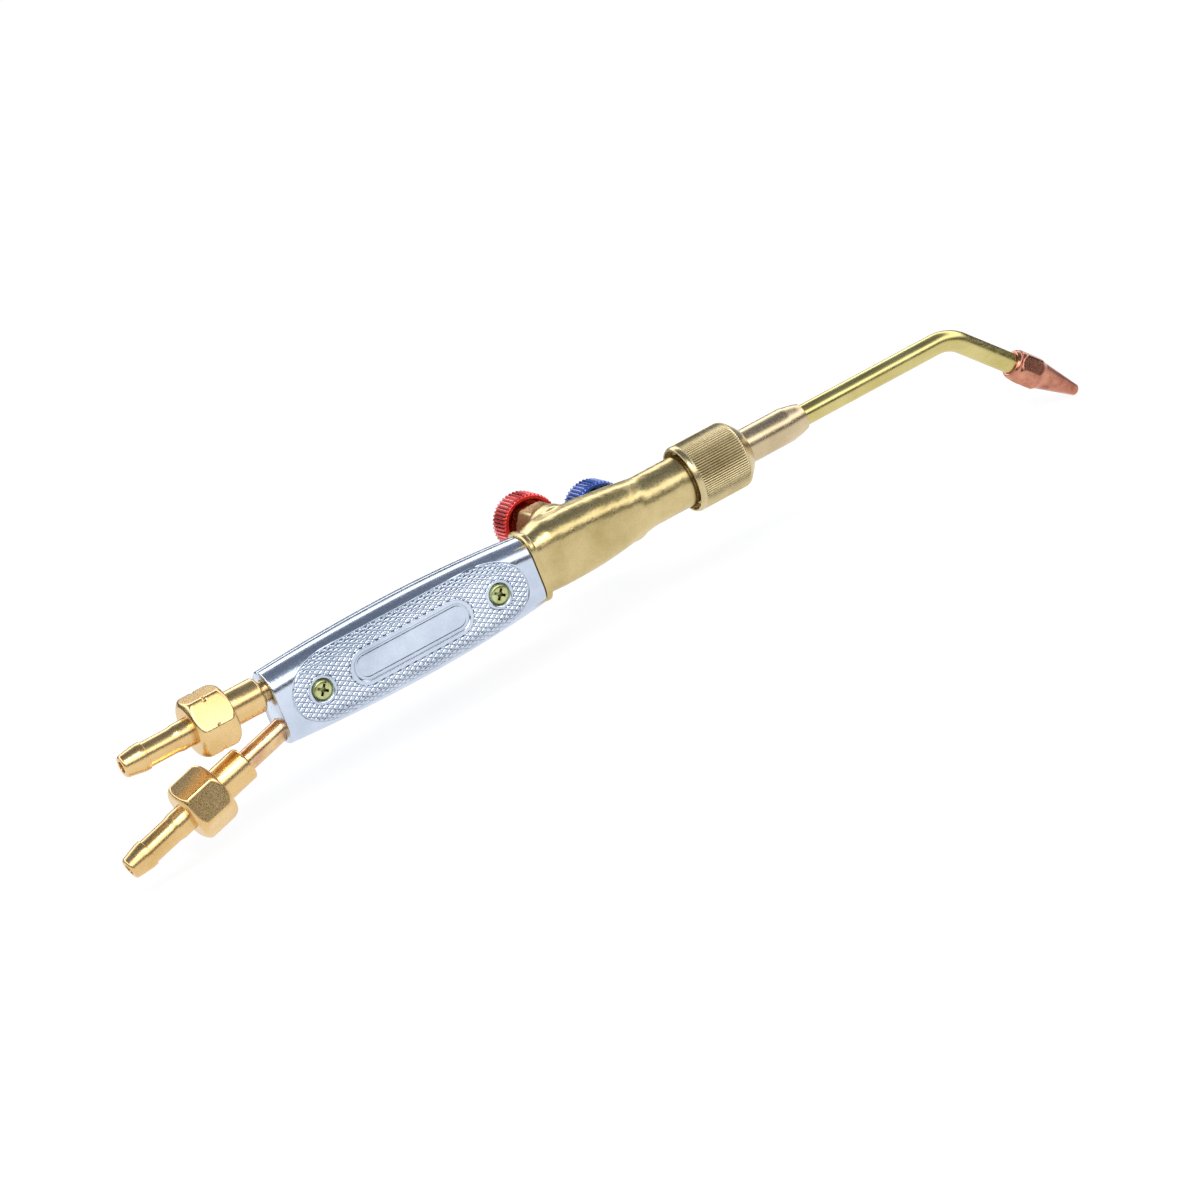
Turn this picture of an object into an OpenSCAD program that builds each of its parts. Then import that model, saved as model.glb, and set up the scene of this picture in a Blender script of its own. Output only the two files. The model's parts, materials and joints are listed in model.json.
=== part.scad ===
// Oxy-fuel gas torch: grip, cast brass valve body, two needle valves, union nut,
// bent interchangeable tip and two hose fittings.
// Origin: middle of the grip, on the main axis. +X towards the tip, +Y towards the
// knobs, +Z opposite to the way the tip bends.

/* [Grip] */
// Length of the grip shells
grip_len = 107; // [100:1:110]
// Height of the grip at its widest place
grip_h = 31.4; // [30:0.2:33]
// Thickness of both grip shells together
grip_t = 20; // [19:0.5:22]
// How far the grip's middle lies below the main axis
grip_drop = 2; // [1.8:0.1:2.2]
// Wall thickness of the shells
grip_wall = 2.4; // [2:0.1:2.6]
// Distance from the grip's middle to each screw
screw_x = 36.7; // [34:0.1:38]

/* [Valve body] */
// Height of the swelling behind the neck
swell_h = 25.6; // [24:0.2:27]
// Diameter of the neck
neck_d = 19.6; // [19:0.1:20]
// Position of the fuel valve along the torch
fuel_valve_x = 71; // [70:0.5:72]
// Position of the oxygen valve along the torch
oxygen_valve_x = 98; // [97:0.5:99]
// Height of each valve above or below the main axis
valve_z = 4.2; // [3.8:0.1:4.4]

/* [Valves] */
// Distance of the knob's mouth from the main axis
knob_y = 26; // [25.5:0.5:27]
// Diameter of a knob over its serrations
knob_d = 22; // [21:0.5:23]
// Thickness of a knob
knob_t = 11; // [10:0.5:12]
// Number of serrations on a knob
serrations = 46; // [36:1:54]

/* [Union nut and tip] */
// Diameter of the union nut
nut_d = 25.5; // [25:0.1:26]
// Length of the union nut
nut_len = 26.4; // [26:0.1:27]
// Diameter of the mixer stem
stem_d = 13; // [12.6:0.1:13.4]
// Diameter of the tip tube
tube_d = 8; // [7.8:0.1:8]
// Bend of the tip tube, in degrees
bend = 45; // [35:1:55]
// Radius of the bend, at the tube's centre line
bend_r = 15; // [13:1:25]
// Length of the straight tube after the bend
tube_end = 22.5; // [18:0.5:30]
// Length of the copper nozzle
nozzle_len = 30.5; // [28:0.5:32]
// Diameter of the nozzle's flame hole
orifice_d = 1.2; // [1:0.1:1.5]

/* [Hose fittings] */
// Across flats of the hose nuts
hose_nut_af = 20.6; // [20:0.2:21.4]
// Diameter of a hose barb's ridge
barb_d = 10.4; // [10:0.1:10.6]
// Slant of the oxygen fitting, in degrees
oxygen_slant = 15; // [14:0.5:16]

/* [Hidden] */

fine = 48;             // facets round a turned piece
fit = 0.05;            // radial clearance of a running fit
gap = 0.3;             // clearance between pieces that pass each other
lap = 0.02;            // radial gap between pieces that are brazed or pressed together

// Along the main axis
grip_x0 = -grip_len / 2;
grip_x1 = grip_len / 2;
body_x0 = grip_x1;             // cast shoulder that meets the grip
neck_x0 = 88;
thread_x0 = 121;
body_x1 = 133;                 // front face of the body
nut_x0 = 120.8;
nut_x1 = nut_x0 + nut_len;
tube_x0 = 168;
bend_x = 233;                  // where the bend starts
seam = 0.05;                   // overlap of the straight and bent stretches

// Gas lines in the grip
line_d = 8;
line_bore = 5;
fuel_z = 4.8;
oxygen_z = -8.6;
line_front = 48;               // how far the lines reach into the body
slant_x = -47;                 // where the oxygen line is mitred
mitre = 0.5;                   // overlap of the two stretches there
exit_run = 28.5;                // slanted stretch of the oxygen line

// Hose fittings, measured backwards from an adapter's front face
adapter_d = 13;
adapter_len = 12.6;
thread_len = 8;                // adapter's thread inside the nut
hose_nut_len = 15.6;
nut_gap = 0.2;                 // gap between a hose nut and its adapter's shoulder
socket = 5;                    // length of a line or tube inside its fitting
fuel_fit_x = grip_x0 - 2.2;

// Valves, measured along Y from the main axis
way_y = 6.4;                   // gas ways that leave the needle chambers
way_z = 3.9;
port_x = 121.6;                // plug's fuel ports
boss_af = 15.4;
boss_y = 22.6;                 // face of the hexagonal boss
seat_y = 2.4;
gland_y = boss_y + 6.4;
spindle_d = 6;
knob_y1 = knob_y + knob_t;

// Sealing rings of the stem's plug: place along the torch and plug radius
plug_rings = [[115.4, 5], [128, 6.35]];
ring_r = 0.7;
ring_in = 0.68;

// A cylinder or cone along X
module along_x(x0, x1, r0, r1 = 0, n = fine) {
    translate([x0, 0, 0]) rotate([0, 90, 0])
        cylinder(h = x1 - x0, r1 = r0, r2 = r1 > 0 ? r1 : r0, $fn = n);
}

// A cylinder or cone along Y
module along_y(y0, y1, r0, r1 = 0, n = fine) {
    translate([0, y0, 0]) rotate([-90, 0, 0])
        cylinder(h = y1 - y0, r1 = r0, r2 = r1 > 0 ? r1 : r0, $fn = n);
}

// A hexagonal bar along X, by its width across flats
module hex_x(x0, x1, af) {
    translate([x0, 0, 0]) rotate([0, 90, 0]) rotate([0, 0, 30])
        cylinder(h = x1 - x0, d = af / cos(30), $fn = 6);
}

// Outline of a rectangle t wide and h high with corners of radius r
function rounded(t, h, r) = [
    for (corner = [0:3], step = [0:8])
        let (a = 90 * corner + 11.25 * step,
            sy = corner == 0 || corner == 3 ? 1 : -1, sz = corner < 2 ? 1 : -1)
            [sy * (t / 2 - r) + r * cos(a), sz * (h / 2 - r) + r * sin(a)]
];

// A thin slice of a rounded rectangle across X
module slice(x, h, t, r) {
    translate([x, 0, 0]) rotate([90, 0, 90])
        linear_extrude(0.01) polygon(rounded(t, h, r));
}

// Barrel shape of the grip, made smaller all round by an inset
function barrel_h(s) = grip_h - (s < 0 ? 3.6 : 5.4) * s * s;
module grip_barrel(inset) {
    half = grip_len / 2 - inset;
    steps = [-1, -0.66, -0.33, 0, 0.33, 0.66, 1];
    translate([0, 0, -grip_drop]) hull()
        for (s = steps)
            slice(s * half, barrel_h(s) - 2 * inset,
                grip_t - 1.6 * s * s - 2 * inset, 8 - inset);
}

// The oxygen line's slanted frame, from its mitre back to the hose
module at_oxygen_mitre() {
    translate([slant_x, 0, oxygen_z]) rotate([0, -oxygen_slant, 0]) children();
}

// Bar along the oxygen line
module oxygen_route(r, over) {
    translate([0, 0, oxygen_z]) along_x(slant_x - mitre, line_front + over, r);
    at_oxygen_mitre() along_x(-exit_run - over, mitre, r);
}

// Everything that passes through the grip's end walls
module grip_openings() {
    translate([0, 0, fuel_z]) along_x(grip_x0 - 1, 0, line_d / 2 + gap / 2);
    oxygen_route(line_d / 2 + gap / 2, 0);
    translate([40, -7 - lap, -grip_drop - 11 - lap])
        cube([20, 14 + 2 * lap, 22 + 2 * lap]);
}

module shell_half(side) {
    intersection() {
        difference() {
            grip_barrel(0);
            grip_barrel(grip_wall);
            grip_openings();
        }
        translate([-grip_len, side < 0 ? -grip_t : 0, -grip_h])
            cube([2 * grip_len, grip_t, 2 * grip_h]);
    }
}

module at_screws() {
    for (x = [-screw_x, screw_x]) translate([x, 0, -grip_drop + 0.1]) children();
}

// Shell on the side away from the knobs: it carries the screw heads
module grip_shell_front() {
    color("silver") difference() {
        union() {
            shell_half(-1);
            at_screws() along_y(-grip_t / 2 + 1.4, -lap, 2.4);
        }
        at_screws() {
            along_y(-grip_t, -lap + 1, 1.6);
            along_y(-grip_t, -grip_t / 2 + 1.9, 4.2);
        }
    }
}

// Shell on the knobs' side: the screws thread into its posts
module grip_shell_back() {
    color("silver") difference() {
        union() {
            shell_half(1);
            at_screws() along_y(lap, grip_t / 2 - 1.4, 2.4);
        }
        at_screws() along_y(-1, 7, 1.5 + lap);
    }
}

module grip_screws() {
    head_y = -grip_t / 2 + 1.9;
    color("khaki") at_screws() difference() {
        union() {
            along_y(head_y - 1.6, head_y, 3.3, 3.6);
            along_y(head_y, 6, 1.5);
        }
        for (a = [0, 90]) rotate([0, a, 0])
            translate([-2, head_y - 2, -0.4]) cube([4, 1.4, 0.8]);
    }
}

module fuel_tube() {
    color("goldenrod") translate([0, 0, fuel_z]) difference() {
        along_x(grip_x0 - 6, line_front, line_d / 2);
        along_x(grip_x0 - 7, line_front + 1, line_bore / 2);
    }
}

module oxygen_tube() {
    color("goldenrod") difference() {
        oxygen_route(line_d / 2, 0);
        oxygen_route(line_bore / 2, 1);
    }
}

// Threaded inlet, front face at the local origin, thread towards -X
module adapter() {
    difference() {
        union() {
            along_x(-adapter_len, -0.6, adapter_d / 2);
            along_x(-0.6, 0, adapter_d / 2, adapter_d / 2 - 0.6);
            along_x(-adapter_len - thread_len, -adapter_len, 6);
        }
        along_x(-socket, 1, line_d / 2 + lap);
        along_x(-adapter_len - thread_len - 1, 1, 2.4);
        along_x(-adapter_len - thread_len - 0.01, -adapter_len - thread_len + 3, 4.6, 2.4);
    }
}

module at_fuel_fitting() { translate([fuel_fit_x, 0, fuel_z]) children(); }
module at_oxygen_fitting() {
    at_oxygen_mitre() translate([-exit_run + socket, 0, 0]) children();
}

module fuel_adapter() { color("goldenrod") at_fuel_fitting() adapter(); }
module oxygen_adapter() { color("goldenrod") at_oxygen_fitting() adapter(); }

// Hose nipple: coned head held in the nut, collar, stem and a single ridged barb
module nipple() {
    seat = -adapter_len - thread_len;
    head = seat - 2.4;
    out = -adapter_len - hose_nut_len;
    difference() {
        union() {
            along_x(head, seat - 0.2, 5.6);
            along_x(seat - 0.2, seat + 1.8, 4.2, 2.9);
            along_x(out - 5, head, 5.1);
            along_x(out - 6.4, out - 5, 4.7, 5.1);
            along_x(out - 18, out - 6.4, 4.7);
            along_x(out - 20, out - 18, barb_d / 2);
            along_x(out - 26.4, out - 20, 4.15, barb_d / 2);
            along_x(out - 27, out - 26.4, 3.6, 4.15);
        }
        along_x(out - 28, seat + 2, 2.2);
    }
}

// Hexagonal hose nut with rounded corners and a turned collar at its front
module hose_nut(notched) {
    back = -adapter_len - hose_nut_len;
    front = -adapter_len - nut_gap;
    difference() {
        intersection() {
            hex_x(back, front, hose_nut_af);
            union() {
                along_x(back, back + 2.4, hose_nut_af / 2 - 0.6, hose_nut_af / 2 + 1.4);
                along_x(back + 2.4, front - 1.6, hose_nut_af / 2 + 1.4);
                along_x(front - 1.6, front, hose_nut_af / 2 + 1.4, hose_nut_af / 2);
            }
        }
        along_x(back - 1, front + 1, 5.1 + fit);
        along_x(back + 5, front + 1, 6 + fit);
        if (notched) for (a = [0:60:300]) rotate([a, 0, 0])
            translate([(back + front) / 2 - 0.5, -1, hose_nut_af / cos(30) / 2 - 0.6])
                cube([1, 2, 2]);
    }
}

module fuel_hose_nipple() { color("gold") at_fuel_fitting() nipple(); }
module fuel_hose_nut() { color("gold") at_fuel_fitting() hose_nut(true); }
module oxygen_hose_nipple() { color("gold") at_oxygen_fitting() nipple(); }
module oxygen_hose_nut() {
    color("gold") at_oxygen_fitting() rotate([18, 0, 0]) hose_nut(false);
}

module at_fuel_valve() { translate([fuel_valve_x, 0, valve_z]) children(); }
module at_oxygen_valve() { translate([oxygen_valve_x, 0, -valve_z]) children(); }

// Flared boss that ends in a hexagon, round the valve's axis
module valve_boss() {
    along_y(3, 9, 9.2);
    along_y(9, 15, 9.2, 7.7);
    translate([0, 12, 0]) rotate([-90, 0, 0])
        cylinder(h = boss_y - 12, d = boss_af / cos(30), $fn = 6);
}

// Valve's chamber: seat pocket, needle chamber, thread and gland recess
module valve_bore() {
    along_y(seat_y, boss_y + 1, 2.5);
    along_y(6, 11, 3.8);
    along_y(6, boss_y + 1, spindle_d / 2 + fit);
    along_y(boss_y - 8, boss_y + 1, 5);
}

module valve_body() {
    color("darkkhaki") difference() {
        union() {
            translate([40.5, -7, -grip_drop - 11]) cube([14, 14, 22]);
            hull() {
                translate([0, 0, -1.2]) slice(body_x0 + lap, 26.6, 19.4, 7);
                translate([0, 0, -1.2]) slice(body_x0 + 2.4, 26.8, 19.8, 7);
            }
            hull() {
                translate([0, 0, -1]) slice(body_x0 + 2.4, 24.6, 18.4, 7);
                slice(body_x0 + 9, swell_h, 20.5, 8);
                slice(80, swell_h - 0.6, 21, 8);
                slice(96, swell_h - 4, 20.4, 8);
                slice(107, neck_d - 1, 17, 8);
            }
            along_x(neck_x0, thread_x0, neck_d / 2);
            along_x(thread_x0, body_x1, 9.6);
            at_fuel_valve() valve_boss();
            at_oxygen_valve() valve_boss();
        }
        at_fuel_valve() valve_bore();
        at_oxygen_valve() valve_bore();
        translate([0, 0, fuel_z]) along_x(40, line_front, line_d / 2 + lap);
        translate([0, 0, oxygen_z]) along_x(40, line_front, line_d / 2 + lap);
        // Fuel way: in below the needle, out of its chamber to the plug's ports
        translate([0, 0, fuel_z]) along_x(line_front - 1, fuel_valve_x, 1.6);
        at_fuel_valve() along_y(-1, seat_y + 1, 1.4);
        translate([0, way_y, way_z]) along_x(fuel_valve_x, port_x, 1.1);
        rotate([atan2(way_z, way_y), 0, 0]) translate([port_x, 0, 0])
            along_y(0, norm([way_y, way_z]), 1);
        // Oxygen way: up to its needle, then to the middle of the plug's socket
        translate([0, 0, oxygen_z]) along_x(line_front - 1, oxygen_valve_x, 1.2);
        translate([oxygen_valve_x, 0, oxygen_z])
            cylinder(h = -oxygen_z - valve_z, r = 1.2, $fn = fine);
        at_oxygen_valve() along_y(-1, seat_y + 1, 1.4);
        translate([0, way_y, -way_z]) along_x(oxygen_valve_x, 108, 1.1);
        rotate([-atan2(way_z, way_y), 0, 0]) translate([108, 0, 0])
            along_y(0, norm([way_y, way_z]), 1);
        along_x(107, 112, 1.2);
        // Socket for the tip's plug
        along_x(111, body_x1 + 1, 5 + fit);
        along_x(122, body_x1 + 1, 6.4 + fit);
        along_x(body_x1 - 2, body_x1 + 0.01, 6.4 + fit, 7.4);
    }
}

// Hard insert that the needle closes on
module valve_seat() {
    color("gray") difference() {
        along_y(seat_y + lap, 5.6, 2.5 - lap);
        along_y(0, 6, 0.9);
        along_y(4.6, 5.61, 0.9, 1.6);
    }
}

module packing() {
    difference() {
        along_y(boss_y - 8 + lap, boss_y - 5.4, 5 - lap);
        along_y(0, boss_y, spindle_d / 2 + fit);
    }
}

// Hexagonal nut that presses the packing, threaded into the boss
module gland_nut() {
    difference() {
        union() {
            along_y(boss_y - 5.4 + lap, boss_y + lap, 5 - lap);
            translate([0, boss_y + lap, 0]) rotate([-90, 0, 0])
                cylinder(h = gland_y - boss_y, d = 13 / cos(30), $fn = 6);
        }
        along_y(0, gland_y + 1, spindle_d / 2 + fit);
        along_y(gland_y - 3.6, gland_y + 1, 4.4);
    }
}

// Ring in the spindle's groove: it rises with the spindle and keeps dust out
module stem_ring() {
    translate([0, gland_y - 1.4, 0]) rotate([-90, 0, 0])
        rotate_extrude($fn = fine) translate([3.3, 0]) circle(0.85, $fn = 24);
}

module spindle() {
    difference() {
        union() {
            along_y(4.75, 7.2, 0.75, 2.3);
            along_y(7.2, gland_y - 0.5, spindle_d / 2);
            along_y(gland_y - 0.5, knob_y1 - 3.4, spindle_d / 2 - 0.4);
        }
        translate([0, gland_y - 1.4, 0]) rotate([-90, 0, 0])
            rotate_extrude($fn = fine) translate([3.3, 0]) circle(0.9, $fn = 24);
        along_y(knob_y1 - 9, knob_y1, 1.25 + lap);
    }
}

// Outline of a knob, with shallow V serrations
function knob_outline(r, depth) = [
    for (i = [0:2 * serrations - 1])
        let (a = 180 * i / serrations, d = i % 2 == 0 ? 0 : depth)
            [(r - d) * cos(a), (r - d) * sin(a)]
];

module knob() {
    inner = spindle_d / 2 - 0.4 + lap;
    difference() {
        intersection() {
            translate([0, knob_y, 0]) rotate([-90, 0, 0])
                linear_extrude(knob_t) polygon(knob_outline(knob_d / 2, 0.7));
            union() {
                along_y(knob_y, knob_y + 0.8, knob_d / 2 - 0.9, knob_d / 2 + 0.1);
                along_y(knob_y + 0.8, knob_y1 - 0.8, knob_d / 2 + 0.1);
                along_y(knob_y1 - 0.8, knob_y1, knob_d / 2 + 0.1, knob_d / 2 - 0.9);
            }
        }
        along_y(knob_y - 1, knob_y + 5.4, knob_d / 2 - 2.2);
        along_y(knob_y, knob_y1 - 3.4, inner);
        along_y(knob_y, knob_y1 + 1, 1.6);
        along_y(knob_y1 - 1, knob_y1 + 1, 4.6);
    }
}

module knob_screw() {
    difference() {
        union() {
            along_y(knob_y1 - 1 + lap, knob_y1 + 1, 3, 2.4);
            along_y(knob_y1 - 8.6, knob_y1 - 0.9, 1.25);
        }
        translate([-4, knob_y1 + 0.3, -0.4]) cube([8, 2, 0.8]);
    }
}

module fuel_valve_seat() { at_fuel_valve() valve_seat(); }
module oxygen_valve_seat() { at_oxygen_valve() valve_seat(); }
module fuel_packing() { color("white") at_fuel_valve() packing(); }
module oxygen_packing() { color("white") at_oxygen_valve() packing(); }
module fuel_gland_nut() { color("goldenrod") at_fuel_valve() gland_nut(); }
module oxygen_gland_nut() { color("goldenrod") at_oxygen_valve() gland_nut(); }
module fuel_stem_ring() { color("black") at_fuel_valve() stem_ring(); }
module oxygen_stem_ring() { color("black") at_oxygen_valve() stem_ring(); }
module fuel_spindle() { color("gray") at_fuel_valve() spindle(); }
module oxygen_spindle() { color("gray") at_oxygen_valve() spindle(); }
module fuel_knob() { color("red") at_fuel_valve() knob(); }
module oxygen_knob() { color("blue") at_oxygen_valve() knob(); }
module fuel_knob_screw() { color("gray") at_fuel_valve() knob_screw(); }
module oxygen_knob_screw() { color("gray") at_oxygen_valve() knob_screw(); }

// Knurled nut: threaded behind, with a round shoulder in front that holds the stem
module union_nut() {
    r = nut_d / 2;
    color("palegoldenrod") difference() {
        union() {
            along_x(nut_x0, nut_x0 + 1, r - 0.6, r);
            along_x(nut_x0 + 1, nut_x1 - 4, r);
            along_x(nut_x1 - 4, nut_x1 - 1.4, r, r - 2);
            along_x(nut_x1 - 1.4, nut_x1, r - 2, r - 4.4);
        }
        along_x(nut_x0 - 1, nut_x0 + 4, r - 1.4);
        along_x(nut_x0, nut_x1 - 6, 9.6 + fit);
        along_x(nut_x0, nut_x1 + 1, stem_d / 2 + fit);
    }
}

// Slip washer between the nut's shoulder and the stem's flange
module nut_thrust_washer() {
    color("orange") difference() {
        along_x(nut_x1 - 7.2, nut_x1 - 6.1, 9.3);
        along_x(nut_x1 - 8, nut_x1 - 6, stem_d / 2 + fit);
    }
}

// Stem that mixes the gases: plug with two sealing rings, flange and tapered nose
module mixer_stem() {
    flange_x = nut_x1 - 7.3;
    color("tan") difference() {
        union() {
            along_x(112.6, 124, 5);
            along_x(124, body_x1 + 2, 6.35);
            along_x(body_x1 + 0.2, flange_x, 9.2);
            along_x(flange_x, 166.4, stem_d / 2);
            along_x(166.4, 171, stem_d / 2, 5.6);
            along_x(171, 173.4, 5.6, 5);
        }
        for (ring = plug_rings)
            translate([ring[0], 0, 0]) rotate([0, 90, 0]) rotate_extrude($fn = fine)
                translate([ring[1] - ring_in, 0]) circle(ring_r + lap, $fn = 24);
        along_x(112, 122, 3 + lap);
        along_x(121, 150, 2);
        along_x(150, tube_x0, 2, 2.6);
        along_x(tube_x0, 174, tube_d / 2 + lap);
        // Two ports that let the fuel in between the rings
        for (a = [0, 180]) rotate([a, 0, 0])
            translate([port_x, 0, 0]) cylinder(h = 6, r = 0.8, $fn = 24);
    }
}

module injector() {
    color("gold") difference() {
        union() {
            along_x(112.8, 119, 3);
            along_x(119, 123, 1.5, 1);
        }
        along_x(112, 118, 1.2);
        along_x(112, 124, 0.4);
    }
}

// A ring in a groove of the stem's plug
module plug_ring(ring) {
    color("black") translate([ring[0], 0, 0]) rotate([0, 90, 0])
        rotate_extrude($fn = fine) translate([ring[1] - ring_in, 0])
            circle(ring_r, $fn = 24);
}
module mixer_rear_ring() { plug_ring(plug_rings[0]); }
module mixer_front_ring() { plug_ring(plug_rings[1]); }

// Local frame at the end of the bend, +X along the tube
module at_bend_end() {
    translate([bend_x, 0, -bend_r]) rotate([0, bend, 0])
        translate([0, 0, bend_r]) children();
}

// Bar along the tip tube's bent route; the bent stretch swells by a hair
module tip_route(r, swell, over) {
    along_x(tube_x0 + lap - over, bend_x + seam, r);
    translate([bend_x, 0, -bend_r]) rotate([0, bend, 0]) rotate([90, 0, 0])
        rotate_extrude(angle = bend, start = 90, $fn = fine * 3)
            translate([bend_r, 0]) circle(r + swell, $fn = fine);
    at_bend_end() along_x(-seam, tube_end + socket + over, r);
}

module tip_tube() {
    color("darkkhaki") difference() {
        tip_route(tube_d / 2 - lap, lap, 0);
        tip_route(2.6, -lap, 1);
    }
}

// Copper nozzle: turned collar, barrel and cone, with six flats milled on the barrel
module nozzle() {
    af = 11.6;
    color("chocolate") at_bend_end() translate([tube_end, 0, 0]) difference() {
        rotate([0, 90, 0]) rotate_extrude($fn = fine) polygon([
            [orifice_d / 2, 17], [2.6, 13], [2.6, socket], [tube_d / 2 + lap, socket],
            [tube_d / 2 + lap, 0], [5, 0], [5.7, 1.2], [5.7, 1.8], [6.7, 3.4],
            [6.7, 10.4], [5.3, 13], [2.1, nozzle_len - 0.6], [1.7, nozzle_len],
            [orifice_d / 2, nozzle_len]
        ]);
        for (a = [12:60:312]) rotate([a, 0, 0])
            translate([1, -5, af / 2]) cube([12, 10, 5]);
    }
}

valve_body();
grip_shell_front();
grip_shell_back();
grip_screws();
fuel_tube();
oxygen_tube();
fuel_adapter();
oxygen_adapter();
fuel_hose_nipple();
fuel_hose_nut();
oxygen_hose_nipple();
oxygen_hose_nut();
fuel_valve_seat();
oxygen_valve_seat();
fuel_packing();
oxygen_packing();
fuel_gland_nut();
oxygen_gland_nut();
fuel_stem_ring();
oxygen_stem_ring();
fuel_spindle();
oxygen_spindle();
fuel_knob();
oxygen_knob();
fuel_knob_screw();
oxygen_knob_screw();
union_nut();
nut_thrust_washer();
mixer_stem();
injector();
mixer_front_ring();
mixer_rear_ring();
tip_tube();
nozzle();
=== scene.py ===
"""Looks of the gas torch: detailed meshes, materials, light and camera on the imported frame.

Lengths are in mm until finish_mesh, which makes metres of them.
"""

import json
import math

import bmesh
import bpy
from mathutils import Matrix, Vector
from mathutils.noise import fractal


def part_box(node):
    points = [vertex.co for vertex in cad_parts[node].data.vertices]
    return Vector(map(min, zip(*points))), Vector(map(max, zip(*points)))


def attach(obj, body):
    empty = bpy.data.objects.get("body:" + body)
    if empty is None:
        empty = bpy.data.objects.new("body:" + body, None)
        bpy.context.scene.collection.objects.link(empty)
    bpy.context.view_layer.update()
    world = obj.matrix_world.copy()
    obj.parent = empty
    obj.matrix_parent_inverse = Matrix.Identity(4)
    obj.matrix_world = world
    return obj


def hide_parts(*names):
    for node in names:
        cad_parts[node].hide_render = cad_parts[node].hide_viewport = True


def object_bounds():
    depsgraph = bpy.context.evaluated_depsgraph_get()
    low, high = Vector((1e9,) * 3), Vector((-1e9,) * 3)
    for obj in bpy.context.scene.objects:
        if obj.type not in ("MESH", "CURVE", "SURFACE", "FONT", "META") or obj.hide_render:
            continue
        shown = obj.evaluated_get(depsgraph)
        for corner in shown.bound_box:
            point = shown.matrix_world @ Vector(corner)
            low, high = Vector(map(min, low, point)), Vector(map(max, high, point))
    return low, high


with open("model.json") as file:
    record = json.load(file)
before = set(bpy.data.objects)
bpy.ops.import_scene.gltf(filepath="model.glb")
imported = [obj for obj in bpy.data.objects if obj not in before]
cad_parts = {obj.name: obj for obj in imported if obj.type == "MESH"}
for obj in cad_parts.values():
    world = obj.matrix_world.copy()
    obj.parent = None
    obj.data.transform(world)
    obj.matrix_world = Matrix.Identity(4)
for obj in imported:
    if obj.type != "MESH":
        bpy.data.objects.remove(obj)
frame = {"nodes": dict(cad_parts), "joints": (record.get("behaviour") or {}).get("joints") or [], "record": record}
CAD_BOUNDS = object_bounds()

MM = 0.001
LINE_R = 3.98                      # outside radius of the pipes, a hair inside the CAD's 4
SOCKET_R = 4.02                    # bores that take a pipe's end
GAS_BORE_R = 2.5                   # gas way through the lines
TIP_BORE_R = 2.6                   # gas way through the tip
JOINTS = {joint["name"]: joint for joint in frame["joints"]}
MOUNTS = {mount["name"]: mount for mount in frame["record"]["mounts"]}


# ---------------------------------------------------------------- places from the frame

def span(node, axis=0):
    """Lowest and highest coordinate of a CAD node along one axis, in mm."""
    low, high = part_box(node)
    return low[axis] / MM, high[axis] / MM


def frame_along(origin_mm, direction):
    """Matrix in mm whose X axis runs along direction from origin, with Z kept near up."""
    x = Vector(direction).normalized()
    up = Vector((0, 0, 1)) if abs(x.z) < 0.9 else Vector((-1, 0, 0))
    y = up.cross(x).normalized()
    z = x.cross(y)
    turn = Matrix((x, y, z)).transposed().to_4x4()
    return Matrix.Translation(Vector(origin_mm)) @ turn


def joint_point(name):
    """A joint's place at rest, in mm."""
    return Vector(JOINTS[name]["pos_m"]) / MM


def line_height(node):
    """Height of the straight front part of a gas line, whose CAD radius is 4 mm."""
    return span(node, 2)[1] - 4.0


MAIN = frame_along((0, 0, 0), (1, 0, 0))
FUEL_VALVE = frame_along(joint_point("fuel_knob_turn"), (0, 1, 0))
OXYGEN_VALVE = frame_along(joint_point("oxygen_knob_turn"), (0, 1, 0))

# Both hose fittings are alike: local x = 0 is the adapter's front face
fuel_land = Vector(MOUNTS["fuel_hose_barb"]["pos_m"]) / MM
oxygen_land = Vector(MOUNTS["oxygen_hose_barb"]["pos_m"]) / MM
oxygen_forward = -Vector(MOUNTS["oxygen_hose_barb"]["axis"])
LAND_BACK = span("fuel_adapter")[1] - fuel_land.x
FUEL_FITTING = frame_along(fuel_land + Vector((LAND_BACK, 0, 0)), (1, 0, 0))
OXYGEN_FITTING = frame_along(oxygen_land + oxygen_forward * LAND_BACK, oxygen_forward)

# The nozzle's local x = 0 is its rear face
flame_axis = Vector(MOUNTS["nozzle_orifice"]["axis"])
ORIFICE_LEN = MOUNTS["nozzle_orifice"]["dims"]["length_mm"]
NOZZLE_LEN = 30.5
flame_end = Vector(MOUNTS["nozzle_orifice"]["pos_m"]) / MM + flame_axis * ORIFICE_LEN / 2
nozzle_rear = flame_end - flame_axis * NOZZLE_LEN
NOZZLE = frame_along(nozzle_rear, flame_axis)


# ---------------------------------------------------------------- mesh building

def finish_mesh(mesh_data, name, matrix, smooth_angle=38):
    """Makes an object from vertices in mm and faces, with creases kept where it turns sharply."""
    verts, faces = mesh_data
    mesh = bpy.data.meshes.new(name)
    mesh.from_pydata([tuple(matrix @ Vector(v) * MM) for v in verts], [], faces)
    bm = bmesh.new()
    bm.from_mesh(mesh)
    bmesh.ops.remove_doubles(bm, verts=bm.verts, dist=1e-7)
    bmesh.ops.recalc_face_normals(bm, faces=bm.faces)
    bm.to_mesh(mesh)
    bm.free()
    for polygon in mesh.polygons:
        polygon.use_smooth = True
    mesh.set_sharp_from_angle(angle=math.radians(smooth_angle))
    obj = bpy.data.objects.new(name, mesh)
    bpy.context.scene.collection.objects.link(obj)
    return obj


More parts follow.
